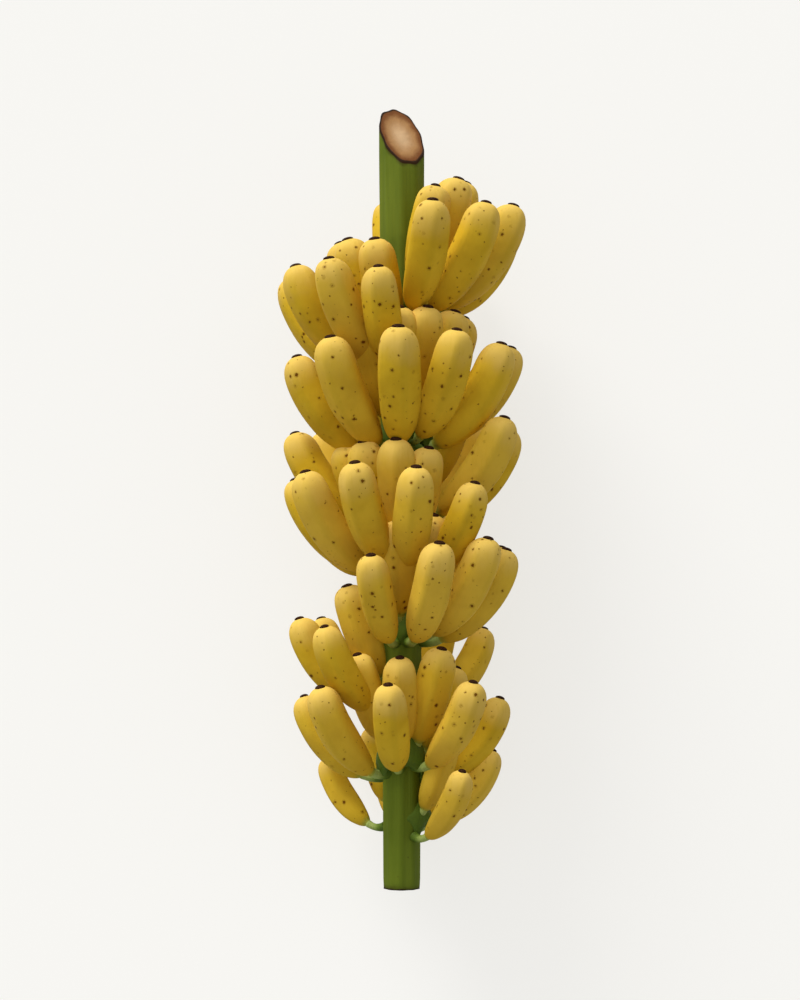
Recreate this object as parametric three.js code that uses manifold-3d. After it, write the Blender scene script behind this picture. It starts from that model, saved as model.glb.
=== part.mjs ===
// A bunch of bananas as cut from the plant: a green stalk with nine hands of short, plump fruit set round
// it on a spiral, lying on its back on a flat surface. Millimetres, +Z up, and the stalk runs along +Y
// towards its thick, slanting cut end. The origin is under the middle of the bunch, on the surface.
// The solids are the green stalk and the nine hands, each grown together from its cushion, its short
// stems and its fruit.
import * as THREE from "three";
import { mergeVertices } from "three/addons/utils/BufferGeometryUtils.js";
import Module from "manifold-3d";

const wasm = await Module();
wasm.setup();

// Stalk, measured along its axis from the square-cut thin end
const STALK_LENGTH = 641; // to the middle of the slanting cut
const THIN_END_RADIUS = 15;
const THICK_END_RADIUS = 19;
const STALK_SIDES = 16;
const CUT_SLOPE_ACROSS = 0.55; // fall of the slanting cut, per millimetre across the stalk
const CUT_SLOPE_UP = 1.43; // fall of the slanting cut, per millimetre up from the surface
const CUT_REACH = 200; // size of the block that makes the slanting cut

// Hands, from the thick end to the thin end: places for fingers in the lower and the upper row, how many of
// the upper row's first places stay empty because the hand above leaves no room there, the level of the
// lower row's roots, how far the hand is turned off the spiral, how large its fingers are, and the seed of
// their draws
const HANDS = [
  { outer: 7, inner: 6, crowded: 0, along: 486, turned: -3, size: 0.99, seed: 61091 },
  { outer: 7, inner: 6, crowded: 2, along: 436, turned: 2, size: 0.985, seed: 31272 },
  { outer: 7, inner: 7, crowded: 1, along: 373, turned: -3, size: 0.98, seed: 29481 },
  { outer: 7, inner: 6, crowded: 1, along: 313, turned: -4, size: 0.97, seed: 62788 },
  { outer: 7, inner: 6, crowded: 2, along: 268, turned: -1, size: 0.92, seed: 65670 },
  { outer: 7, inner: 6, crowded: 0, along: 209, turned: -3, size: 0.89, seed: 56071 },
  { outer: 6, inner: 5, crowded: 2, along: 153, turned: -5, size: 0.85, seed: 76050 },
  { outer: 5, inner: 5, crowded: 1, along: 100, turned: -2, size: 0.84, seed: 119507 },
  { outer: 5, inner: 4, crowded: 0, along: 52, turned: 5, size: 0.705, seed: 8490 },
];
const FIRST_AZIMUTH = 115; // degrees round the stalk from straight up, towards +X
const GOLDEN_ANGLE = 137.5; // degrees from each hand to the next
const HALF_SPAN = 96; // degrees from a hand's middle to its last finger

// Fingers, at size 1. Angles are from square to the stalk, towards the thick end.
const FINGER_RADIUS = 17.6;
const STEM_RADIUS = 5;
const STEM_LENGTH = 17; // from the fruit into the cushion, on a finger of any size
const STEM_SLOPE = 4; // degrees that the stem falls towards the stalk
const TIP_RADIUS = 5.5;
const FINGER_SIDES = 6;
const CORNER_REACH = 1.05; // how far a finger's corners reach, of its radius, as its flats lie inside it
const ROWS = {
  outer: { length: 111, root: 32, rise: 0, from: 30, to: 74 },
  inner: { length: 97, root: 20, rise: 23, from: 65, to: 72 },
};
const STATIONS = [0.1, 0.36, 0.68, 0.87, 0.95]; // where its outline is taken, as shares of its length
const FULL_FROM = 0.6; // the share of the length where the finger is fully thick
const ROOT_TAPER = 2.4; // lower is more pointed towards the stem
const SHOULDER = 5.3; // higher brings the shoulder nearer to the tip
const TIP_TAPER = 1.4; // lower is more conical beyond the shoulder
const SIDE_TAPER = 0.06; // how much its sides close in towards the tip
const END_SHRINK = 0.1; // how much smaller the last finger of a row is than its middle one
const END_DROP = 4; // how much lower the last finger of a row stands
const SIZE_SPREAD = 0.05; // seeded variation of a finger's size, as a share
const AZIMUTH_SPREAD = 4; // seeded variation in degrees
const LEVEL_SPREAD = 4; // seeded variation of a finger's level

// Cushions, the swollen crescents round the stalk that hold the stems of a hand. The outline gives how far
// it lies inside the fullest radius at each level.
const CUSHION_OUTLINE = [
  { inset: 4, level: -10 },
  { inset: 0, level: -4 },
  { inset: 0, level: 8 },
  { inset: 6, level: 32 },
];
const CUSHION_THICKNESS = 6; // how much larger the fullest radius is than the stalk's
const CUSHION_OFFSET = 7; // towards the middle of the hand
const CUSHION_SIDES = 12;

// Where it rests
const REST_TILT = 3.05; // degrees that the thick end stands higher
const REST_ROLL = 2.9; // degrees that the bunch is rolled about its stalk
const AXIS_HEIGHT = 79; // of the stalk's axis over the surface, at the thin end
const SURFACE_SIZE = 2000;
const CLEARANCE = 0.35; // gap between solids that touch

const GREEN = "#5f7429";
const YELLOW = "#d9a92c";

// The same sequence of draws between 0 and 1 each time
function makeDraw(seed) {
  let state = seed;
  return () => {
    state = (state * 16807) % 2147483647;
    return state / 2147483647;
  };
}

// A closed geometry as a solid, with shared vertices merged
function solidOf(geometry) {
  const bare = geometry.clone();
  bare.deleteAttribute("normal");
  bare.deleteAttribute("uv");
  const merged = mergeVertices(bare, 1e-4);
  return new wasm.Manifold(
    new wasm.Mesh({
      numProp: 3,
      vertProperties: merged.attributes.position.array,
      triVerts: new Uint32Array(merged.index.array),
    }),
  );
}

function unionOf(geometries) {
  return wasm.Manifold.union(geometries.map(solidOf));
}

function geometryOf(solid) {
  const mesh = solid.getMesh();
  return new THREE.BufferGeometry()
    .setAttribute("position", new THREE.BufferAttribute(mesh.vertProperties, mesh.numProp))
    .setIndex(new THREE.BufferAttribute(mesh.triVerts, 1));
}

// The largest body of a solid: its sealed hollows are filled and loose scraps dropped
function wholeBody(solid) {
  return solid.decompose().sort((a, b) => b.volume() - a.volume())[0];
}

const restPose = new THREE.Matrix4()
  .makeRotationX(THREE.MathUtils.degToRad(REST_TILT))
  .multiply(new THREE.Matrix4().makeRotationY(THREE.MathUtils.degToRad(REST_ROLL)))
  .setPosition(0, 0, AXIS_HEIGHT);

// Turns a geometry modelled outwards along +X and up the stalk along +Y to its azimuth and level, as it rests
function placeOnStalk(geometry, azimuth, along) {
  return geometry
    .rotateY(THREE.MathUtils.degToRad(azimuth - 90))
    .translate(0, along, 0)
    .applyMatrix4(restPose);
}

function stalkRadius(along) {
  return THREE.MathUtils.lerp(THIN_END_RADIUS, THICK_END_RADIUS, along / STALK_LENGTH);
}

// The stalk, with its slanting cut
function stalkSolid(grow) {
  const length = STALK_LENGTH + THICK_END_RADIUS * (CUT_SLOPE_ACROSS + CUT_SLOPE_UP);
  const radii = [stalkRadius(length) + grow, stalkRadius(0) + grow];
  const trunk = new THREE.CylinderGeometry(...radii, length, STALK_SIDES)
    .translate(0, length / 2, 0)
    .applyMatrix4(restPose);
  const slope = new THREE.Vector3(CUT_SLOPE_ACROSS, 1, CUT_SLOPE_UP).normalize();
  const block = new THREE.BoxGeometry(CUT_REACH, CUT_REACH, CUT_REACH)
    .translate(0, CUT_REACH / 2, 0)
    .applyQuaternion(new THREE.Quaternion().setFromUnitVectors(new THREE.Vector3(0, 1, 0), slope))
    .translate(0, STALK_LENGTH, 0)
    .applyMatrix4(restPose);
  return solidOf(trunk).subtract(solidOf(block));
}

function fingerRadius(share) {
  if (share < FULL_FROM) {
    return FINGER_RADIUS * Math.sqrt(1 - (1 - share / FULL_FROM) ** ROOT_TAPER);
  }
  const late = (share - FULL_FROM) / (1 - FULL_FROM);
  return FINGER_RADIUS * (1 - SIDE_TAPER * late) * (1 - late ** SHOULDER) ** (1 / TIP_TAPER);
}

// A banana and its short stem: a turned outline, bent to an arc that curves up towards the stalk's thick end
function fingerGeometry(row, size, grow) {
  const length = row.length * size;
  const outline = [
    new THREE.Vector2(0, -STEM_LENGTH),
    new THREE.Vector2(STEM_RADIUS * size + grow, -STEM_LENGTH),
    ...STATIONS.map(
      (share) => new THREE.Vector2(CORNER_REACH * fingerRadius(share) * size + grow, share * length),
    ),
    new THREE.Vector2(TIP_RADIUS * size + grow, length + grow),
    new THREE.Vector2(0, length + grow),
  ];
  const geometry = new THREE.LatheGeometry(outline, FINGER_SIDES);
  const from = THREE.MathUtils.degToRad(row.from);
  const slope = THREE.MathUtils.degToRad(STEM_SLOPE);
  const turn = THREE.MathUtils.degToRad(row.to - row.from);
  const bend = length / turn;
  const position = geometry.attributes.position;
  for (let i = 0; i < position.count; i++) {
    const aside = position.getX(i);
    const level = position.getY(i);
    const angle = from + turn * Math.max(0, level / length);
    const before = Math.min(0, level);
    const out = bend * (Math.sin(angle) - Math.sin(from)) + aside * Math.sin(angle);
    const up = bend * (Math.cos(from) - Math.cos(angle)) - aside * Math.cos(angle);
    position.setX(i, row.root + out + before * Math.cos(slope));
    position.setY(i, row.rise * size + up + before * Math.sin(slope));
  }
  return geometry;
}

// The fingers of one hand, each with its row, azimuth, level and size. A row's last fingers are smaller
// and lower.
function fingersOf(hand, middle) {
  const draw = makeDraw(hand.seed);
  const step = (2 * HALF_SPAN) / (hand.outer - 1);
  const fingers = [];
  for (const name of ["outer", "inner"]) {
    for (let i = name === "inner" ? hand.crowded : 0; i < hand[name]; i++) {
      const offset = step * (i - (hand[name] - 1) / 2);
      const end = Math.abs(offset / HALF_SPAN) ** 4;
      fingers.push({
        row: ROWS[name],
        azimuth: middle + offset + AZIMUTH_SPREAD * (2 * draw() - 1),
        size: hand.size * (1 - END_SHRINK * end) * (1 + SIZE_SPREAD * (2 * draw() - 1)),
        along: hand.along - END_DROP * end + LEVEL_SPREAD * (2 * draw() - 1),
      });
    }
  }
  return fingers;
}

function cushionGeometry(hand, middle, grow) {
  const fullest = stalkRadius(hand.along) + CUSHION_THICKNESS + grow;
  const outline = CUSHION_OUTLINE.map(
    ({ inset, level }) => new THREE.Vector2(fullest - inset, level * hand.size + grow * Math.sign(level)),
  );
  outline.unshift(new THREE.Vector2(0, outline[0].y));
  outline.push(new THREE.Vector2(0, outline[outline.length - 1].y));
  const cushion = new THREE.LatheGeometry(outline, CUSHION_SIDES).translate(CUSHION_OFFSET, 0, 0);
  return placeOnStalk(cushion, middle, hand.along);
}

function handSolid(hand, middle, fingers, grow) {
  const fruit = fingers.map(({ row, azimuth, along, size }) =>
    placeOnStalk(fingerGeometry(row, size, grow), azimuth, along),
  );
  return unionOf([cushionGeometry(hand, middle, grow), ...fruit]);
}

function named(name, solid, colour, roughness) {
  const material = new THREE.MeshStandardMaterial({ color: colour, roughness, metalness: 0 });
  const mesh = new THREE.Mesh(geometryOf(solid), material);
  mesh.name = name;
  return mesh;
}

// The stalk, then each hand cut clear of the surface, the stalk and the hands before it
function makeBunch() {
  const bunch = new THREE.Group();
  bunch.add(named("stalk", stalkSolid(0), GREEN, 0.6));
  const underside = new THREE.BoxGeometry(SURFACE_SIZE, SURFACE_SIZE, SURFACE_SIZE);
  let taken = solidOf(underside.translate(0, 0, -SURFACE_SIZE / 2)).add(stalkSolid(CLEARANCE));
  HANDS.forEach((hand, index) => {
    const middle = FIRST_AZIMUTH + GOLDEN_ANGLE * index + hand.turned;
    const fingers = fingersOf(hand, middle);
    const body = wholeBody(handSolid(hand, middle, fingers, 0).subtract(taken));
    bunch.add(named(`hand_${index + 1}`, body, YELLOW, 0.5));
    taken = taken.add(handSolid(hand, middle, fingers, CLEARANCE));
  });
  const centre = new THREE.Box3().setFromObject(bunch).getCenter(new THREE.Vector3());
  bunch.position.set(-centre.x, -centre.y, 0);
  return bunch;
}

export default makeBunch();
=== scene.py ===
"""The looks of a bunch of bananas that lies on its back: smooth fruit, dried tips, green stems and stalk.

The bunch is laid out in its own frame, in metres: +Y up the stalk from its thin end, +X and +Z square to it.
RestPose turns that frame to how the bunch lies on the surface. An azimuth is an angle round the stalk, from
+Z towards +X.
"""

import logging
import math
from dataclasses import dataclass, field
from enum import Enum
from typing import Any, Callable, ClassVar, Iterator, Sequence

import bmesh
import bpy
from mathutils import Matrix, Vector, noise

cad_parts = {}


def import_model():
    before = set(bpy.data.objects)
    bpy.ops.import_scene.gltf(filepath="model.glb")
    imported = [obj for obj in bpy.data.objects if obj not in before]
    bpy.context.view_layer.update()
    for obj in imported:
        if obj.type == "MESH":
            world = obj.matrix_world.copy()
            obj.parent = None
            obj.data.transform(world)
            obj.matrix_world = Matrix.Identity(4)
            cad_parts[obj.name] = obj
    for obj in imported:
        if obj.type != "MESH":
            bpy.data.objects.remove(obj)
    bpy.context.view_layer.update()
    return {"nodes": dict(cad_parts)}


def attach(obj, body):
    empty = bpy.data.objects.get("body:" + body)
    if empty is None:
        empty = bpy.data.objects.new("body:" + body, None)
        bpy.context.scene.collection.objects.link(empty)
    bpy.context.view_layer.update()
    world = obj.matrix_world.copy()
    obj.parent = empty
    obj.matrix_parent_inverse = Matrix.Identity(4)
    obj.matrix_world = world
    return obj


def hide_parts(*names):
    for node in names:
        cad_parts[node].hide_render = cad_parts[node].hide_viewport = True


LOG = logging.getLogger("bunch")
MM = 0.001
BODY = "root"
SHARP_ANGLE = math.radians(50)
Triple = tuple[float, float, float]
Colour = Triple
Outline = tuple[tuple[float, float], ...]


def srgb(red: int, green: int, blue: int) -> Colour:
    """Turn a colour as seen on a screen into the linear colour that a material takes.

    Args:
        red: Red, 0 to 255.
        green: Green, 0 to 255.
        blue: Blue, 0 to 255.

    Returns:
        The linear red, green and blue, 0 to 1.
    """
    def linear(value: int) -> float:
        """Undo the screen's curve for one channel."""
        share = value / 255
        return share / 12.92 if share <= 0.04045 else ((share + 0.055) / 1.055) ** 2.4

    return linear(red), linear(green), linear(blue)


def ease(low: float, high: float, value: float) -> float:
    """Rise smoothly from 0 at low to 1 at high.

    Args:
        low: Where the rise starts.
        high: Where it ends.
        value: The place to read.

    Returns:
        A share from 0 to 1.
    """
    share = min(1.0, max(0.0, (value - low) / (high - low)))
    return share * share * (3 - 2 * share)


class Draws:
    """A seeded sequence of draws between 0 and 1, the same each time."""

    MULTIPLIER = 16807
    MODULUS = 2147483647

    def __init__(self, seed: int) -> None:
        """Start the sequence at seed."""
        self.state = seed

    def share(self) -> float:
        """Return the next draw, 0 to 1."""
        self.state = self.state * self.MULTIPLIER % self.MODULUS
        return self.state / self.MODULUS

    def spread(self, amount: float) -> float:
        """Return a draw between -amount and amount."""
        return amount * (2 * self.share() - 1)


class Channel(Enum):
    """The vertex attributes that the materials read."""

    ALONG = "along"
    TINT = "tint"
    RIDGE = "ridge"
    DEPTH = "depth"
    GROWN = "grown"


class Slot(Enum):
    """The record's material slots."""

    STALK = "stalk"
    FRUIT = "fruit"
    STEM = "stem"
    TIP = "tip"
    CUT = "cut"


class Flow:
    """A shader socket that takes part in Python arithmetic."""

    def __init__(self, graph: "Graph", socket: bpy.types.NodeSocket) -> None:
        """Wrap an output socket of a graph."""
        self.graph = graph
        self.socket = socket

    def _math(self, operation: str, other: Any) -> "Flow":
        """Add a Math node on this value and another.

        Args:
            operation: The Math node's operation.
            other: A number or a Flow.

        Returns:
            The node's result.
        """
        return self.graph.node("ShaderNodeMath", {"operation": operation}, {0: self, 1: other})

    def __add__(self, other: Any) -> "Flow":
        """Add other."""
        return self._math("ADD", other)

    def __sub__(self, other: Any) -> "Flow":
        """Subtract other."""
        return self._math("SUBTRACT", other)

    def __mul__(self, other: Any) -> "Flow":
        """Multiply by other."""
        return self._math("MULTIPLY", other)

    def rise(self, low: float, high: float) -> "Flow":
        """Rise smoothly from 0 at low to 1 at high, or fall where low is above high.

        Args:
            low: The value that gives 0.
            high: The value that gives 1.

        Returns:
            A share from 0 to 1.
        """
        values = {"Value": self, "From Min": low, "From Max": high}
        return self.graph.node("ShaderNodeMapRange", {"interpolation_type": "SMOOTHSTEP"}, values)


class Graph:
    """The node tree of one material, with one method that adds any node."""

    def __init__(self, name: str) -> None:
        """Start a material that holds one Principled shader."""
        self.material = bpy.data.materials.new(name)
        self.material.use_nodes = True
        self.tree = self.material.node_tree
        self.shader = self.tree.nodes["Principled BSDF"]

    def feed(self, socket: bpy.types.NodeSocket, value: Any) -> None:
        """Link a Flow to a socket, or set the socket to a value.

        Args:
            socket: The input socket.
            value: A Flow, a number, or a colour or vector.
        """
        if isinstance(value, Flow):
            self.tree.links.new(value.socket, socket)
        elif socket.type == "RGBA":
            socket.default_value = (*value[:3], 1.0)
        else:
            socket.default_value = value

    def node(self, kind: str, settings: dict[str, Any], values: dict[Any, Any], output: Any = 0) -> Flow:
        """Add a node.

        Args:
            kind: The node's type.
            settings: The node's own settings, set first.
            values: Values or Flows by input name or number.
            output: The name or number of the output to return.

        Returns:
            The output as a Flow.
        """
        made = self.tree.nodes.new(kind)
        for name, value in settings.items():
            setattr(made, name, value)
        for key, value in values.items():
            self.feed(made.inputs[key], value)
        return Flow(self, made.outputs[output])

    def place(self) -> Flow:
        """Return the Object coordinates, in metres."""
        return self.node("ShaderNodeTexCoord", {}, {}, "Object")

    def attribute(self, channel: Channel, output: str = "Fac") -> Flow:
        """Return a vertex attribute."""
        return self.node("ShaderNodeAttribute", {"attribute_name": channel.value}, {}, output)

    def mapped(self, vector: Flow, scale: Triple) -> Flow:
        """Multiply coordinates by a scale on each axis."""
        return self.node("ShaderNodeMapping", {}, {"Vector": vector, "Scale": scale})

    def fibres(self, stretch: float) -> Flow:
        """Return coordinates of the bunch's own frame in which noise is drawn out along the stalk."""
        return self.mapped(self.attribute(Channel.GROWN, "Vector"), (1.0, stretch, 1.0))

    def noise(self, vector: Flow, scale: float, detail: float) -> Flow:
        """Return noise from 0 to 1 at a scale in features a metre."""
        return self.node("ShaderNodeTexNoise", {}, {"Vector": vector, "Scale": scale, "Detail": detail})

    def wavered(self, vector: Flow, scale: float, amount: float) -> Flow:
        """Shift coordinates unevenly, so that round marks turn ragged.

        Args:
            vector: The coordinates, in metres.
            scale: The unevenness, in features a metre.
            amount: The largest shift, in metres.

        Returns:
            The shifted coordinates.
        """
        values = {"Vector": vector, "Scale": scale, "Detail": 1.0}
        cloud = self.node("ShaderNodeTexNoise", {}, values, "Color")
        centred = self.node("ShaderNodeVectorMath", {"operation": "SUBTRACT"}, {0: cloud, 1: (0.5, 0.5, 0.5)})
        shift = self.node("ShaderNodeVectorMath", {"operation": "SCALE"}, {0: centred, "Scale": 2 * amount})
        return self.node("ShaderNodeVectorMath", {"operation": "ADD"}, {0: vector, 1: shift})

    def blend(self, share: Any, low: Any, high: Any) -> Flow:
        """Mix two colours.

        Args:
            share: How much of the second colour shows.
            low: The first colour or Flow.
            high: The second colour or Flow.

        Returns:
            The mixed colour.
        """
        made = self.tree.nodes.new("ShaderNodeMix")
        made.data_type = "RGBA"
        sockets = [s for s in made.inputs if s.enabled]
        for socket, value in zip(sockets, (share, low, high)):
            self.feed(socket, value)
        return Flow(self, next(s for s in made.outputs if s.enabled))

    def specks(self, vector: Flow, spacing: float, radius: float, share: float) -> Flow:
        """Scatter round specks of uneven size.

        Args:
            vector: The coordinates, in metres.
            spacing: The distance between specks, in metres.
            radius: The largest speck's radius, in metres.
            share: The share of the places that stay empty.

        Returns:
            1 on a speck and 0 beside it, with a soft edge.
        """
        values = {"Vector": vector, "Scale": 1 / spacing, "Randomness": 1.0}
        cell = self.tree.nodes.new("ShaderNodeTexVoronoi")
        for key, value in values.items():
            self.feed(cell.inputs[key], value)
        split = self.tree.nodes.new("ShaderNodeSeparateColor")
        self.tree.links.new(cell.outputs["Color"], split.inputs[0])
        # Each cell has its own random numbers: the first says if it holds a speck, the second its size.
        present = Flow(self, split.outputs[0]).rise(share, share + 0.02)
        size = Flow(self, split.outputs[1]) * 0.55 + 0.45
        reach = size * (radius / spacing)
        inside = (reach - Flow(self, cell.outputs["Distance"])) * (spacing / radius)
        return inside.rise(-0.1, 0.25) * present

    def bump(self, height: Flow, depth: float) -> Flow:
        """Turn a height into a normal, with depth what a height of 1 stands for, in metres."""
        return self.node("ShaderNodeBump", {}, {"Height": height, "Distance": depth, "Strength": 1.0})

    def finish(self, **values: Any) -> bpy.types.Material:
        """Set the shader's sockets and return the material.

        Args:
            values: Values or Flows by the socket's name, with _ for a space.

        Returns:
            The material.
        """
        for name, value in values.items():
            self.feed(self.shader.inputs[name.replace("_", " ")], value)
        return self.material


@dataclass(frozen=True)
class PeelFinish:
    """Ripe yellow peel with a painted highlight that makes the tip paler, green at the stem, with soft ridges
    and small brown specks.
    """

    yellow: Colour = srgb(208, 171, 38)
    # pale is the paler tone of some whole fruit, and also the painted highlight on the tips.
    pale: Colour = srgb(218, 184, 92)
    deep: Colour = srgb(191, 154, 29)
    olive: Colour = srgb(176, 148, 32)
    green: Colour = srgb(150, 158, 62)
    brown: Colour = srgb(98, 58, 0)
    tan: Colour = srgb(140, 100, 18)
    large_spacing: float = 8 * MM
    large_radius: float = 1.6 * MM
    small_spacing: float = 5.2 * MM
    small_radius: float = 0.9 * MM
    large_empty: float = 0.42
    small_empty: float = 0.5
    halo_growth: float = 1.7
    raggedness: float = 0.9 * MM
    pore_depth: float = 0.2 * MM

    def make(self) -> bpy.types.Material:
        """Build the peel's material."""
        graph = Graph("banana peel")
        place = graph.place()
        along = graph.attribute(Channel.ALONG)
        tint = graph.attribute(Channel.TINT)
        ridge = graph.attribute(Channel.RIDGE)
        cloud = graph.noise(place, 34, 3)
        # Clouds of deeper yellow, and fruit that is paler as a whole.
        colour = graph.blend(cloud.rise(0.35, 0.7), self.yellow, self.deep)
        colour = graph.blend(tint.rise(0.3, 1.0) * 0.25, colour, self.pale)
        # A painted highlight that makes the tip paler, olive ridges, and deeper yellow that ends in green at
        # the stem.
        colour = graph.blend((along + cloud * 0.3).rise(0.85, 1.12) * 0.85, colour, self.pale)
        colour = graph.blend(ridge.rise(0.1, 1.0) * 0.15, colour, self.olive)
        colour = graph.blend((along + cloud * 0.2).rise(0.5, 0.12) * 0.6, colour, self.deep)
        colour = graph.blend((along + cloud * 0.03).rise(0.1, 0.02), colour, self.green)
        # Faint streaks along the fruit.
        streak = graph.noise(graph.fibres(0.15), 420, 2)
        colour = graph.blend(streak.rise(0.5, 0.8) * 0.2, colour, self.deep)
        # Large and small specks, the large ones with a tan edge.
        ragged = graph.wavered(place, 900, self.raggedness)
        large = graph.specks(ragged, self.large_spacing, self.large_radius, self.large_empty)
        small = graph.specks(ragged, self.small_spacing, self.small_radius, self.small_empty)
        edge = self.large_radius * self.halo_growth
        halo = graph.specks(ragged, self.large_spacing, edge, self.large_empty)
        speck = (large + small * 0.75).rise(0.0, 1.0)
        colour = graph.blend(halo * 0.35, colour, self.tan)
        colour = graph.blend(speck * 0.95, colour, self.brown)
        pores = graph.noise(place, 1500, 3) * 0.35 + graph.noise(place, 160, 2)
        return graph.finish(
            Base_Color=colour,
            Roughness=graph.noise(place, 70, 2) * 0.14 + 0.62,
            Normal=graph.bump(pores - speck * 0.3, self.pore_depth),
            Specular_IOR_Level=0.07,
        )


@dataclass(frozen=True)
class ScarFinish:
    """The dry, dark brown scar that the flower left on the tip."""

    dark: Colour = srgb(38, 20, 8)
    light: Colour = srgb(78, 48, 26)

    def make(self) -> bpy.types.Material:
        """Build the scar's material."""
        graph = Graph("dried flower scar")
        place = graph.place()
        crust = graph.noise(place, 900, 4)
        return graph.finish(
            Base_Color=graph.blend(crust.rise(0.42, 0.8), self.dark, self.light),
            Roughness=crust * 0.2 + 0.65,
            Normal=graph.bump(crust, 0.6 * MM),
            Specular_IOR_Level=0.06,
        )


@dataclass(frozen=True)
class StemFinish:
    """Green plant skin of the fruit stems, paler towards the fruit, and of the cushions."""

    pale: Colour = srgb(154, 170, 90)
    green: Colour = srgb(102, 126, 40)
    dark: Colour = srgb(76, 98, 24)
    brown: Colour = srgb(80, 62, 28)

    def make(self) -> bpy.types.Material:
        """Build the stem's material."""
        graph = Graph("fruit stem skin")
        place = graph.place()
        along = graph.attribute(Channel.ALONG)
        cloud = graph.noise(place, 90, 3)
        fibre = graph.noise(graph.fibres(0.12), 900, 3)
        colour = graph.blend((along + cloud * 0.3).rise(0.25, 0.75), self.dark, self.green)
        colour = graph.blend((along + cloud * 0.2).rise(0.4, 0.9), colour, self.pale)
        colour = graph.blend(fibre.rise(0.5, 0.8) * 0.4, colour, self.dark)
        colour = graph.blend(graph.specks(place, 5 * MM, 0.7 * MM, 0.5) * 0.6, colour, self.brown)
        return graph.finish(
            Base_Color=colour,
            Roughness=cloud * 0.2 + 0.48,
            Normal=graph.bump(fibre + cloud * 0.5, 0.4 * MM),
            Specular_IOR_Level=0.15,
        )


@dataclass(frozen=True)
class StalkFinish:
    """Smooth green stalk with lengthwise fibres, browned at its cut edges."""

    green: Colour = srgb(88, 103, 24)
    light: Colour = srgb(102, 116, 32)
    dark: Colour = srgb(74, 90, 18)
    brown: Colour = srgb(44, 25, 5)

    def make(self) -> bpy.types.Material:
        """Build the stalk's material."""
        graph = Graph("stalk skin")
        place = graph.place()
        depth = graph.attribute(Channel.DEPTH)
        fibre = graph.noise(graph.fibres(0.03), 420, 3)
        broad = graph.noise(graph.fibres(0.08), 80, 2)
        cloud = graph.noise(place, 22, 3)
        colour = graph.blend(broad.rise(0.35, 0.7), self.green, self.light)
        colour = graph.blend(cloud.rise(0.45, 0.75) * 0.5, colour, self.dark)
        colour = graph.blend(fibre.rise(0.5, 0.75) * 0.25, colour, self.dark)
        colour = graph.blend(graph.specks(place, 9 * MM, 0.9 * MM, 0.6) * 0.4, colour, self.brown)
        # A ragged brown smudge below the cut, and a dried edge.
        smudge = graph.noise(place, 150, 3) * (6 * MM)
        colour = graph.blend((depth + smudge).rise(8.5 * MM, 2.5 * MM) * 0.75, colour, self.brown)
        colour = graph.blend(depth.rise(1.6 * MM, 0.8 * MM), colour, self.brown)
        return graph.finish(
            Base_Color=colour,
            Roughness=cloud * 0.16 + 0.55,
            Normal=graph.bump(fibre + broad * 1.5, 0.4 * MM),
            Specular_IOR_Level=0.08,
        )


@dataclass(frozen=True)
class CutFinish:
    """A cut through the stalk: beige pith, browned outwards, inside a dark dried rim."""

    pith: Colour = srgb(196, 162, 122)
    tan: Colour = srgb(160, 118, 72)
    rust: Colour = srgb(112, 66, 28)
    rim: Colour = srgb(34, 19, 5)

    def make(self) -> bpy.types.Material:
        """Build the cut's material."""
        graph = Graph("cut pith")
        place = graph.place()
        share = graph.attribute(Channel.ALONG)
        cloud = graph.noise(place, 130, 3)
        grain = graph.noise(place, 1400, 3)
        # The pith browns outwards, up to the dried rim.
        outward = share + cloud * 0.2 - 0.1
        colour = graph.blend(outward.rise(0.05, 0.7), self.pith, self.tan)
        colour = graph.blend(outward.rise(0.62, 0.88), colour, self.rust)
        colour = graph.blend((share + cloud * 0.04).rise(0.92, 0.985), colour, self.rim)
        colour = graph.blend(graph.specks(place, 2.2 * MM, 0.4 * MM, 0.3) * 0.3, colour, self.rust)
        return graph.finish(
            Base_Color=colour,
            Roughness=grain * 0.2 + 0.6,
            Normal=graph.bump(grain + cloud * 2, 0.5 * MM),
            Specular_IOR_Level=0.15,
        )


@dataclass(frozen=True)
class RestPose:
    """How the bunch lies on the surface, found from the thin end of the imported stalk."""

    foot: Vector
    tilt: float = math.radians(3.05)
    roll: float = math.radians(2.9)
    END_DEPTH: ClassVar[float] = 3 * MM

    @classmethod
    def of_stalk(cls, stalk: bpy.types.Object) -> "RestPose":
        """Read the middle of the stalk's thin end from its CAD node.

        Args:
            stalk: The CAD node of the stalk.

        Returns:
            The pose of the whole bunch.
        """
        points = [vertex.co for vertex in stalk.data.vertices]
        lowest = min(point.y for point in points)
        end = [point for point in points if point.y < lowest + cls.END_DEPTH]
        middle = [(min(p[axis] for p in end) + max(p[axis] for p in end)) / 2 for axis in range(3)]
        return cls(Vector(middle))

    def matrix(self) -> Matrix:
        """Return the turn and shift from the bunch's own frame to how it lies."""
        turn = Matrix.Rotation(self.tilt, 4, "X") @ Matrix.Rotation(self.roll, 4, "Y")
        return Matrix.Translation(self.foot) @ turn


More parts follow.
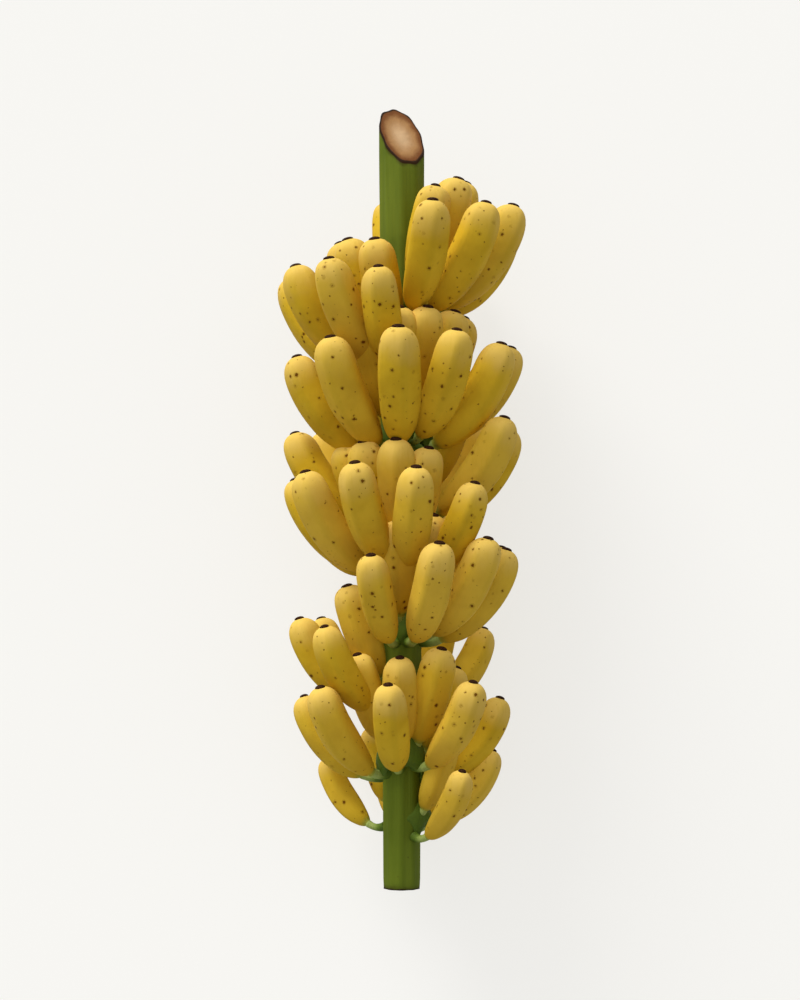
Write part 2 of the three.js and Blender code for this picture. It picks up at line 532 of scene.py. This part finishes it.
class Workpiece:
    """A mesh in the making, with the vertex attributes that the materials read."""

    def __init__(self) -> None:
        """Start an empty mesh."""
        self.mesh = bmesh.new()
        floats = [c for c in Channel if c is not Channel.GROWN]
        self.layers = {c: self.mesh.verts.layers.float.new(c.value) for c in floats}
        self.grown = self.mesh.verts.layers.float_vector.new(Channel.GROWN.value)

    def turn(self, outline: Sequence[tuple[float, float]], sides: int, closed: bool = False) -> None:
        """Spin an outline round the Z axis.

        Args:
            outline: Radius and height of each point, from the bottom up.
            sides: The number of sides.
            closed: Whether the outline is a ring, as of a collar, and not a line between two poles.
        """
        points = [self.mesh.verts.new((radius, 0.0, height)) for radius, height in outline]
        edges = [self.mesh.edges.new(pair) for pair in zip(points, points[1:])]
        if closed:
            edges.append(self.mesh.edges.new((points[-1], points[0])))
        bmesh.ops.spin(
            self.mesh,
            geom=points + edges,
            cent=(0, 0, 0),
            axis=(0, 0, 1),
            angle=2 * math.pi,
            steps=sides,
            use_merge=True,
        )
        bmesh.ops.remove_doubles(self.mesh, verts=self.mesh.verts, dist=1e-6)

    def mark(self, vertex: bmesh.types.BMVert, values: dict[Channel, float]) -> None:
        """Store attribute values on a vertex."""
        for channel, value in values.items():
            vertex[self.layers[channel]] = value

    def settle(self, pose: Matrix) -> None:
        """Lay the shape down, and press flat what would reach below the surface.

        Args:
            pose: The turn and shift from the bunch's own frame.
        """
        for vertex in self.mesh.verts:
            vertex[self.grown] = vertex.co
            vertex.co = pose @ vertex.co
            vertex.co.z = max(vertex.co.z, 0.0)
        bmesh.ops.recalc_face_normals(self.mesh, faces=self.mesh.faces)

    def take(self, other: "Workpiece") -> None:
        """Add another shape to this one, and use it up."""
        carrier = bpy.data.meshes.new("carrier")
        other.mesh.to_mesh(carrier)
        other.mesh.free()
        self.mesh.from_mesh(carrier)
        bpy.data.meshes.remove(carrier)

    def publish(self, name: str, material: bpy.types.Material, slot: Slot, node: str) -> None:
        """Make the finished piece, riding on the bunch's body in place of a CAD node.

        Args:
            name: The piece's name.
            material: Its material.
            slot: The record's slot for it; not used.
            node: The CAD node that it stands for.
        """
        data = bpy.data.meshes.new(name)
        self.mesh.to_mesh(data)
        self.mesh.free()
        data.materials.append(material)
        for face in data.polygons:
            face.use_smooth = True
        data.set_sharp_from_angle(angle=SHARP_ANGLE)
        piece = bpy.data.objects.new(name, data)
        bpy.context.scene.collection.objects.link(piece)
        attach(piece, BODY)
        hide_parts(node)
        LOG.info("%s: %d faces", name, len(data.polygons))


@dataclass(frozen=True)
class Row:
    """How the fingers of one row stand, at size 1.

    root and rise are the place of the fruit's root, out from the stalk's axis and up from the hand's level.
    start and finish are the fruit's directions at its root and tip, from square to the stalk upwards.
    """

    length: float
    root: float
    rise: float
    start: float
    finish: float


class Rows(Enum):
    """The two rows of a hand."""

    OUTER = Row(111 * MM, 32 * MM, 0.0, math.radians(30), math.radians(74))
    INNER = Row(97 * MM, 20 * MM, 23 * MM, math.radians(65), math.radians(72))


@dataclass(frozen=True)
class Finger:
    """One banana with its stem and its scar, made straight along +Z and then bent.

    The fruit swells from its neck up to full_from, a share of its length, and closes in a dome at the tip.
    Its ridges are at full height between ridged_from and ridged_to and gone at ridged_end. Outlines are pairs
    of shares: of the neck's radius and the stem's length, downwards, and of the scar's radius and height.
    """

    row: Row
    azimuth: float
    along: float
    size: float
    draws: Draws
    thickness: float = 17.6 * MM
    neck: float = 0.28
    full_from: float = 0.6
    root_taper: float = 2.4
    side_taper: float = 0.06
    shoulder: float = 5.3
    bluntness: float = 2.2
    sides: int = 30
    rings: int = 30
    ring_lean: float = 0.9
    ridges: int = 5
    ridge_height: float = 0.048
    ridge_sharpness: float = 0.25
    ridged_from: float = 0.18
    ridged_to: float = 0.86
    ridged_end: float = 1.02
    lump: float = 0.5 * MM
    lumps_a_metre: float = 38
    lump_start: float = 4 * MM
    noise_reach: float = 10
    stem_length: float = 17 * MM
    stem_turn: float = 1.8
    stem_sunk: float = 3 * MM
    stem_sides: int = 18
    stem_lump: float = 0.35 * MM
    stem_outline: Outline = (
        (0.0, 1.0), (1.3, 1.0), (1.16, 0.8), (1.02, 0.62),
        (0.94, 0.45), (0.92, 0.28), (0.95, 0.12), (1.04, 0.0),
    )
    scar_radius: float = 5.2 * MM
    scar_height: float = 1.7 * MM
    scar_sides: int = 16
    scar_outline: Outline = (
        (0.0, -1.8), (0.8, -1.5), (1.0, -0.45), (0.97, 0.1),
        (0.8, 0.55), (0.5, 0.85), (0.2, 1.0), (0.0, 0.85),
    )

    @property
    def length(self) -> float:
        """The fruit's length along its curve."""
        return self.row.length * self.size

    def radius(self, share: float) -> float:
        """The fruit's radius at a share of its length."""
        if share < self.full_from:
            reach = math.sqrt(1 - (1 - share / self.full_from) ** self.root_taper)
            return self.thickness * self.size * max(self.neck, reach)
        late = min(1.0, (share - self.full_from) / (1 - self.full_from))
        dome = (1 - late**self.shoulder) ** (1 / self.bluntness)
        return self.thickness * self.size * (1 - self.side_taper * late) * dome

    def grow(self, point: Vector) -> Vector:
        """Bend a point of the straight fruit to its arc on the stalk.

        Args:
            point: A point beside the fruit's line, which runs up +Z from the fruit's root.

        Returns:
            The point in the bunch's own frame.
        """
        start = self.row.start
        if point.z < 0:
            rate = self.stem_turn * start / self.stem_length
        else:
            rate = (self.row.finish - start) / self.length
        angle = start + rate * point.z
        out = self.row.root + (math.sin(angle) - math.sin(start)) / rate + point.x * math.sin(angle)
        lift = (math.cos(start) - math.cos(angle)) / rate - point.x * math.cos(angle)
        up = self.row.rise * self.size + lift
        sine, cosine = math.sin(self.azimuth), math.cos(self.azimuth)
        return Vector((out * sine + point.y * cosine, self.along + up, out * cosine - point.y * sine))

    def shape(self, part: Workpiece, along: Callable[[float], float], ridged: float, lump: float) -> None:
        """Give a turned part its ridges and lumps, and bend it to the fruit's arc.

        Args:
            part: The turned part, along +Z.
            along: What the along attribute says at a height.
            ridged: How strongly the ridges show.
            lump: How far the surface wavers, in metres.
        """
        phase = self.draws.share() * math.tau
        tint = self.draws.share()
        offset = Vector([self.draws.share() for _ in range(3)]) * self.noise_reach
        for vertex in part.mesh.verts:
            around = math.atan2(vertex.co.y, vertex.co.x) * self.ridges + phase
            share = vertex.co.z / self.length
            fade = ease(0.0, self.ridged_from, share) * ease(self.ridged_end, self.ridged_to, share)
            ridge = (math.cos(around) + self.ridge_sharpness * math.cos(2 * around)) * fade * ridged
            waver = noise.noise(vertex.co * self.lumps_a_metre + offset) * lump
            radial = Vector((vertex.co.x, vertex.co.y, 0))
            moved = radial * (1 + ridge * self.ridge_height)
            moved += radial.normalized() * waver * min(1.0, radial.length / self.lump_start)
            part.mark(vertex, {Channel.ALONG: along(vertex.co.z), Channel.RIDGE: ridge, Channel.TINT: tint})
            vertex.co = self.grow(Vector((moved.x, moved.y, vertex.co.z)))

    def fruit(self) -> Workpiece:
        """Make the fruit, with its rings closest together at both ends."""
        part = Workpiece()
        turns = [math.pi * (i / self.rings) ** self.ring_lean for i in range(self.rings)]
        shares = [0.5 - 0.5 * math.cos(turn) for turn in turns]
        outline = [(0.0, 0.0)]
        outline += [(self.radius(share), share * self.length) for share in shares]
        outline.append((0.0, self.length))
        part.turn(outline, self.sides)
        self.shape(part, lambda height: height / self.length, 1.0, self.lump)
        return part

    def scar(self) -> Workpiece:
        """Make the dried scar on the tip."""
        part = Workpiece()
        reach = self.scar_radius * self.size
        outline = [(wide * reach, self.length + high * self.scar_height) for wide, high in self.scar_outline]
        part.turn(outline, self.scar_sides)
        self.shape(part, lambda height: 1.0, 0.0, self.lump)
        return part

    def stem(self) -> Workpiece:
        """Make the short stem, from inside the cushion to inside the fruit."""
        part = Workpiece()
        thick = self.neck * self.thickness * self.size
        outline = [(wide * thick, -low * self.stem_length) for wide, low in self.stem_outline]
        outline += [(0.98 * thick, 0.35 * self.stem_sunk), (0.0, self.stem_sunk)]
        part.turn(outline, self.stem_sides)
        self.shape(part, lambda height: 1 + height / self.stem_length, 0.0, self.stem_lump)
        return part


@dataclass(frozen=True)
class Stalk:
    """The green stalk, from its square-cut thin end to its slanting cut.

    slope_across and slope_up are the slanting cut's falls towards +X and +Z. The skin closes under the cuts'
    plates: edge rounds the square cut, and rim and lid sink the skin's end under the slanting one.
    """

    length: float = 641 * MM
    thin_radius: float = 15 * MM
    thick_radius: float = 19 * MM
    slope_across: float = 0.55
    slope_up: float = 1.43
    sides: int = 72
    rings: int = 90
    edge: float = 1.2 * MM
    rim: float = 0.8 * MM
    lid: float = 637 * MM
    rib_height: float = 0.35 * MM
    ribs: int = 9
    broad_ribs: int = 4
    ribs_from: float = 4 * MM
    sway: float = 0.5 * MM
    sways_a_metre: Triple = (12, 9, 12)
    plate_depth: float = 1.5 * MM
    plate_stand: float = 0.25 * MM
    plate_rings: int = 10
    plate_reach: float = 0.985
    grain: float = 0.35 * MM
    grains_a_metre: float = 260
    dish: float = 0.8 * MM

    def radius(self, along: float) -> float:
        """The stalk's radius at a level."""
        return self.thin_radius + (self.thick_radius - self.thin_radius) * along / self.length

    def cut_level(self, x: float, z: float) -> float:
        """The level of the slanting cut at a place across the stalk."""
        return self.length - self.slope_across * x - self.slope_up * z

    def rib(self, x: float, z: float) -> float:
        """How far the soft lengthwise ribs stand out at an azimuth."""
        around = math.atan2(x, z)
        broad = 0.6 * math.cos(self.broad_ribs * around + 1.0)
        return self.rib_height * (math.cos(self.ribs * around) + broad)

    def skin(self, pose: Matrix) -> Workpiece:
        """Make the skin as a closed shape.

        Args:
            pose: How the bunch lies.

        Returns:
            The shape, laid down.
        """
        part = Workpiece()
        outline = [(0.0, 0.0), (self.thin_radius - self.edge, 0.0)]
        outline.append((self.thin_radius - 0.3 * self.edge, self.edge / 3))
        for ring in range(self.rings + 1):
            share = ring / self.rings
            outline.append((self.radius(share * self.length), self.edge + share * (self.length - self.edge)))
        outline.append((self.thick_radius - self.rim, self.length))
        outline += [(self.thick_radius - 1.5 * self.rim, self.lid), (0.0, self.lid)]
        part.turn(outline, self.sides)
        for vertex in part.mesh.verts:
            x, z, along = vertex.co.x, vertex.co.y, vertex.co.z
            stand = 1 + self.rib(x, z) / self.thin_radius * ease(0.0, self.ribs_from, along)
            x, z = x * stand, z * stand
            level = along / self.length * self.cut_level(x, z)
            sway = noise.noise(Vector((x, level, z)) * Vector(self.sways_a_metre)) * self.sway
            out = Vector((x, 0, z)).normalized() * sway
            part.mark(vertex, {Channel.DEPTH: min(self.cut_level(x, z) - level, level + 1 * MM)})
            vertex.co = Vector((x + out.x, level, z + out.z))
        part.settle(pose)
        return part

    def face(self, pose: Matrix, level: Callable[[float, float], float], along: float, up: int) -> Workpiece:
        """Make a thin plate of cut pith, dished and grained.

        Args:
            pose: How the bunch lies.
            level: The level of the cut at a place across the stalk.
            along: The level whose radius the plate takes.
            up: 1 where the cut looks up the stalk, and -1 where it looks down.

        Returns:
            The plate, laid down.
        """
        part = Workpiece()
        reach = self.radius(along)
        steps = self.plate_rings
        outline = [(0.0, -self.plate_depth), (0.97 * reach, -self.plate_depth)]
        outline += [(reach * self.plate_reach * (1 - i / steps), self.plate_stand) for i in range(steps + 1)]
        part.turn(outline, self.sides)
        for vertex in part.mesh.verts:
            x, z, stand = vertex.co.x, vertex.co.y, vertex.co.z
            share = math.hypot(x, z) / reach
            grain = noise.noise(Vector((x, z, along)) * self.grains_a_metre) * self.grain
            grain *= ease(0.98, 0.85, share)
            dish = -self.dish * ease(0.95, 0.5, share)
            spread = 1 + self.rib(x, z) / reach
            lift = stand + (grain + dish if stand > 0 else 0.0)
            part.mark(vertex, {Channel.ALONG: share})
            vertex.co = Vector((x * spread, level(x * spread, z * spread) + up * lift, z * spread))
        part.settle(pose)
        return part

    def build(self, pose: Matrix, skin: bpy.types.Material, cut: bpy.types.Material) -> None:
        """Build and dress the stalk.

        Args:
            pose: How the bunch lies.
            skin: The stalk skin's material.
            cut: The cut pith's material.
        """
        self.skin(pose).publish("stalk_skin", skin, Slot.STALK, "stalk")
        slanting = self.face(pose, self.cut_level, self.length, 1)
        slanting.publish("stalk_slanting_cut", cut, Slot.CUT, "stalk")
        square = self.face(pose, lambda x, z: 0.0, 0.0, -1)
        square.publish("stalk_square_cut", cut, Slot.CUT, "stalk")


@dataclass(frozen=True)
class Hand:
    """A hand: two rows of fingers on a cushion. The last fingers of a row are smaller and lower.

    outer and inner are the numbers of fingers in the lower and the upper row. crowded is how many of the
    upper ones are left out at the first end of the row, where the hand above leaves them no room. turned is
    how many degrees the hand stands off the spiral.
    """

    number: int
    outer: int
    inner: int
    crowded: int
    along: float
    turned: float
    size: float
    seed: int
    first_azimuth: float = math.radians(115)
    golden_angle: float = math.radians(137.5)
    half_span: float = math.radians(96)
    end_shrink: float = 0.1
    end_drop: float = 4 * MM
    size_spread: float = 0.05
    azimuth_spread: float = math.radians(4)
    level_spread: float = 4 * MM
    cushion_thickness: float = 6 * MM
    cushion_sunk: float = 2.5 * MM
    cushion_low: float = 2 * MM
    cushion_high: float = 32 * MM
    cushion_taper: float = 7 * MM
    cushion_offset: float = 7 * MM
    cushion_thinning: float = 6.5 * MM
    cushion_steps: int = 12
    cushion_sides: int = 72
    cushion_tone: float = 0.15
    root_place: float = 0.6
    hang_margin: float = 1.5 * MM
    hang_width: float = 0.22
    hang_top: float = 8 * MM
    swelling: float = 2.2 * MM
    swelling_radius: float = 6.5 * MM
    lump: float = 0.5 * MM
    lumps_a_metre: float = 70

    @property
    def node(self) -> str:
        """The hand's CAD node."""
        return f"hand_{self.number}"

    @property
    def middle(self) -> float:
        """The azimuth of the hand's middle."""
        return self.first_azimuth + self.golden_angle * (self.number - 1) + math.radians(self.turned)

    def fingers(self, looks: Draws) -> Iterator[Finger]:
        """Set out the fingers.

        Args:
            looks: The sequence that varies their surface.

        Yields:
            Each finger, the lower row first.
        """
        draws = Draws(self.seed)
        step = 2 * self.half_span / (self.outer - 1)
        for row, count, first in ((Rows.OUTER, self.outer, 0), (Rows.INNER, self.inner, self.crowded)):
            for i in range(first, count):
                offset = step * (i - (count - 1) / 2)
                end = abs(offset / self.half_span) ** 4
                azimuth = self.middle + offset + draws.spread(self.azimuth_spread)
                size = self.size * (1 - self.end_shrink * end) * (1 + draws.spread(self.size_spread))
                along = self.along - self.end_drop * end + draws.spread(self.level_spread)
                yield Finger(row.value, azimuth, along, size, looks)

    def cushion_outline(self, inner: float, full: float) -> list[tuple[float, float]]:
        """Draw the cushion's section, thickest near its lower edge.

        Args:
            inner: The radius that is hidden in the stalk.
            full: The cushion's full radius.

        Returns:
            Radius and height of each point.
        """
        low, high = self.cushion_low, self.cushion_high * self.size
        heel = low + 2 * MM
        outline = [(inner, high), (inner, low + 3 * MM), (full - 4 * MM, low), (full - 1 * MM, heel)]
        for i in range(1, self.cushion_steps + 1):
            share = i / self.cushion_steps
            outline.append((full - self.cushion_taper * share**1.6, heel + (high - heel) * share))
        return outline

    def hang(self, around: float, roots: Sequence[tuple[float, float]]) -> float:
        """Find how far the cushion's lower edge reaches down to the stems at an azimuth.

        Args:
            around: The azimuth.
            roots: Azimuth and height of each stem's root.

        Returns:
            The distance, in metres.
        """
        deepest = 0.0
        for azimuth, height in roots:
            depth = max(0.0, self.cushion_low + self.hang_margin - height)
            away = math.remainder(around - azimuth, math.tau) / self.hang_width
            deepest = max(deepest, depth * math.exp(-(away**2)))
        return deepest

    def cushion(self, stalk: Stalk, fingers: Sequence[Finger]) -> Workpiece:
        """Make the swollen crescent that the stems stand on.

        Args:
            stalk: The stalk that it grows round.
            fingers: The hand's fingers.

        Returns:
            The cushion, in the bunch's own frame.
        """
        part = Workpiece()
        inner = stalk.radius(self.along) - self.cushion_sunk
        full = stalk.radius(self.along) + self.cushion_thickness
        part.turn(self.cushion_outline(inner, full), self.cushion_sides, closed=True)
        roots = [finger.grow(Vector((0, 0, -self.root_place * finger.stem_length))) for finger in fingers]
        heights = [(finger.azimuth, root.y - self.along) for finger, root in zip(fingers, roots)]
        middle = Vector((math.sin(self.middle), 0, math.cos(self.middle)))
        for vertex in part.mesh.verts:
            out = Vector((vertex.co.x, 0, vertex.co.y))
            level = vertex.co.z
            fade = ease(self.hang_top, self.cushion_low, level)
            level -= self.hang(math.atan2(out.x, out.z), heights) * fade
            outward = out.normalized()
            if out.length > inner + 0.5 * MM:
                # Thicker towards the hand's middle, thin at its back, and swollen at each stem's root.
                facing = outward.dot(middle)
                out += middle * self.cushion_offset * ease(-1.0, 0.6, facing)
                out -= outward * self.cushion_thinning * ease(0.25, -0.9, facing)
                here = out + Vector((0, self.along + level, 0))
                near = sum(math.exp(-(((here - root).length / self.swelling_radius) ** 2)) for root in roots)
                lump = self.lump * noise.noise(here * self.lumps_a_metre)
                out += outward * (self.swelling * min(1.2, near) + lump)
            part.mark(vertex, {Channel.ALONG: self.cushion_tone})
            vertex.co = Vector((out.x, self.along + level, out.z))
        return part

    def build(self, bunch: "Bunch", looks: Draws) -> None:
        """Build and dress the hand.

        Args:
            bunch: The bunch, for its stalk, pose and materials.
            looks: The sequence that varies the fingers' surface.
        """
        fingers = list(self.fingers(looks))
        fruit, scars, stems = Workpiece(), Workpiece(), Workpiece()
        stems.take(self.cushion(bunch.stalk, fingers))
        for finger in fingers:
            fruit.take(finger.fruit())
            scars.take(finger.scar())
            stems.take(finger.stem())
        for part in (fruit, scars, stems):
            part.settle(bunch.pose)
        fruit.publish(f"{self.node}_fruit", bunch.peel, Slot.FRUIT, self.node)
        scars.publish(f"{self.node}_scars", bunch.scar, Slot.TIP, self.node)
        stems.publish(f"{self.node}_stems", bunch.stem, Slot.STEM, self.node)


@dataclass
class Bunch:
    """The whole bunch: its stalk, and its hands from the thick end to the thin end."""

    pose: Matrix
    stalk: Stalk = field(default_factory=Stalk)
    look_seed: int = 2024
    hands: tuple[Hand, ...] = (
        Hand(1, 7, 6, 0, 486 * MM, -3, 0.99, 61091),
        Hand(2, 7, 6, 2, 436 * MM, 2, 0.985, 31272),
        Hand(3, 7, 7, 1, 373 * MM, -3, 0.98, 29481),
        Hand(4, 7, 6, 1, 313 * MM, -4, 0.97, 62788),
        Hand(5, 7, 6, 2, 268 * MM, -1, 0.92, 65670),
        Hand(6, 7, 6, 0, 209 * MM, -3, 0.89, 56071),
        Hand(7, 6, 5, 2, 153 * MM, -5, 0.85, 76050),
        Hand(8, 5, 5, 1, 100 * MM, -2, 0.84, 119507),
        Hand(9, 5, 4, 0, 52 * MM, 5, 0.705, 8490),
    )

    def __post_init__(self) -> None:
        """Make the materials."""
        self.peel = PeelFinish().make()
        self.scar = ScarFinish().make()
        self.stem = StemFinish().make()

    def build(self) -> None:
        """Build the stalk and the hands."""
        self.stalk.build(self.pose, StalkFinish().make(), CutFinish().make())
        looks = Draws(self.look_seed)
        for hand in self.hands:
            hand.build(self, looks)


@dataclass(frozen=True)
class Lamp:
    """A far soft light, its breadth in degrees. Its direction is in the bunch's own frame."""

    name: str
    strength: float
    breadth: float
    shadow: bool
    direction: Triple = (-0.42, 0.85, 0.28)
    colour: Colour = (1.0, 0.98, 0.94)
    distance: float = 3.0

    def place(self, pose: Matrix) -> None:
        """Add the light.

        Args:
            pose: How the bunch lies.
        """
        data = bpy.data.lights.new(self.name, "SUN")
        data.angle = math.radians(self.breadth)
        data.energy = self.strength
        data.color = self.colour
        data.use_shadow = self.shadow
        lamp = bpy.data.objects.new(self.name, data)
        away = pose.to_3x3() @ Vector(self.direction).normalized()
        turn = away.to_track_quat("Z", "Y").to_matrix().to_4x4()
        lamp.matrix_world = Matrix.Translation(away * self.distance) @ turn
        bpy.context.scene.collection.objects.link(lamp)


@dataclass(frozen=True)
class Studio:
    """The pale surface and backdrop, the soft light, and the camera that looks down on the bunch."""

    floor_size: float = 12.0
    backdrop_radius: float = 5.04
    floor_colour: Colour = (0.28, 0.28, 0.28)
    floor_glow: Colour = (0.665, 0.659, 0.632)
    backdrop_glow: Colour = (0.93, 0.922, 0.888)
    sky_colour: Colour = (1.0, 1.0, 1.0)
    sky_strength: float = 0.54
    lamps: tuple[Lamp, ...] = (Lamp("key", 2.3, 30.0, True), Lamp("wash", 1.5, 40.0, False))
    target_along: float = 324.7 * MM
    target_across: float = -1.3 * MM
    distance: float = 1487.5 * MM
    lean: float = math.radians(-5)
    half_height: float = 425 * MM
    sensor: float = 36.0

    def surround(self, name: str, mesh: bmesh.types.BMesh, colour: Colour, glow: Colour) -> None:
        """Add a pale surface round the bunch that throws no light back on it.

        Args:
            name: The surface's name.
            mesh: Its shape, used up.
            colour: What it returns of the light on it.
            glow: Its own light.
        """
        data = bpy.data.meshes.new(name)
        mesh.to_mesh(data)
        mesh.free()
        graph = Graph(f"pale {name}")
        values = {"Base_Color": colour, "Roughness": 0.9, "Specular_IOR_Level": 0.0, "Emission_Color": glow}
        data.materials.append(graph.finish(Emission_Strength=1.0, **values))
        surface = bpy.data.objects.new(name, data)
        surface.visible_diffuse = False
        surface.visible_glossy = False
        surface.visible_shadow = False
        bpy.context.scene.collection.objects.link(surface)

    def floor(self) -> None:
        """Add the pale surface that the bunch lies on."""
        mesh = bmesh.new()
        bmesh.ops.create_grid(mesh, x_segments=1, y_segments=1, size=self.floor_size / 2)
        self.surround("floor", mesh, self.floor_colour, self.floor_glow)

    def backdrop(self) -> None:
        """Add an even pale backdrop behind the floor."""
        mesh = bmesh.new()
        bmesh.ops.create_uvsphere(mesh, u_segments=48, v_segments=24, radius=self.backdrop_radius)
        bmesh.ops.reverse_faces(mesh, faces=mesh.faces)
        self.surround("backdrop", mesh, (0.0, 0.0, 0.0), self.backdrop_glow)

    def sky(self) -> None:
        """Add even light from all round."""
        world = bpy.data.worlds.new("studio")
        world.use_nodes = True
        background = world.node_tree.nodes["Background"]
        background.inputs["Color"].default_value = (*self.sky_colour, 1.0)
        background.inputs["Strength"].default_value = self.sky_strength
        bpy.context.scene.world = world
        bpy.context.scene.view_settings.view_transform = "Standard"

    def camera(self, pose: Matrix) -> None:
        """Add the camera, placed in the bunch's own frame.

        Args:
            pose: How the bunch lies.
        """
        target = Vector((self.target_across, self.target_along, 0))
        away = Vector((0, math.sin(self.lean), math.cos(self.lean)))
        side = Vector((1, 0, 0))
        turn = Matrix((side, away.cross(side), away)).transposed().to_4x4()
        data = bpy.data.cameras.new("camera")
        data.sensor_width = self.sensor
        data.lens = self.sensor / 2 * self.distance / self.half_height
        camera = bpy.data.objects.new("camera", data)
        camera.matrix_world = pose @ Matrix.Translation(target + away * self.distance) @ turn
        bpy.context.scene.collection.objects.link(camera)
        bpy.context.scene.camera = camera

    def build(self, pose: Matrix) -> None:
        """Set up the studio.

        Args:
            pose: How the bunch lies.
        """
        self.floor()
        self.backdrop()
        self.sky()
        self.camera(pose)
        for lamp in self.lamps:
            lamp.place(pose)


def main() -> None:
    logging.basicConfig(level=logging.INFO, format="%(message)s")
    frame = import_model()
    pose = RestPose.of_stalk(frame["nodes"]["stalk"]).matrix()
    Bunch(pose).build()
    Studio().build(pose)


if __name__ == "__main__":
    main()
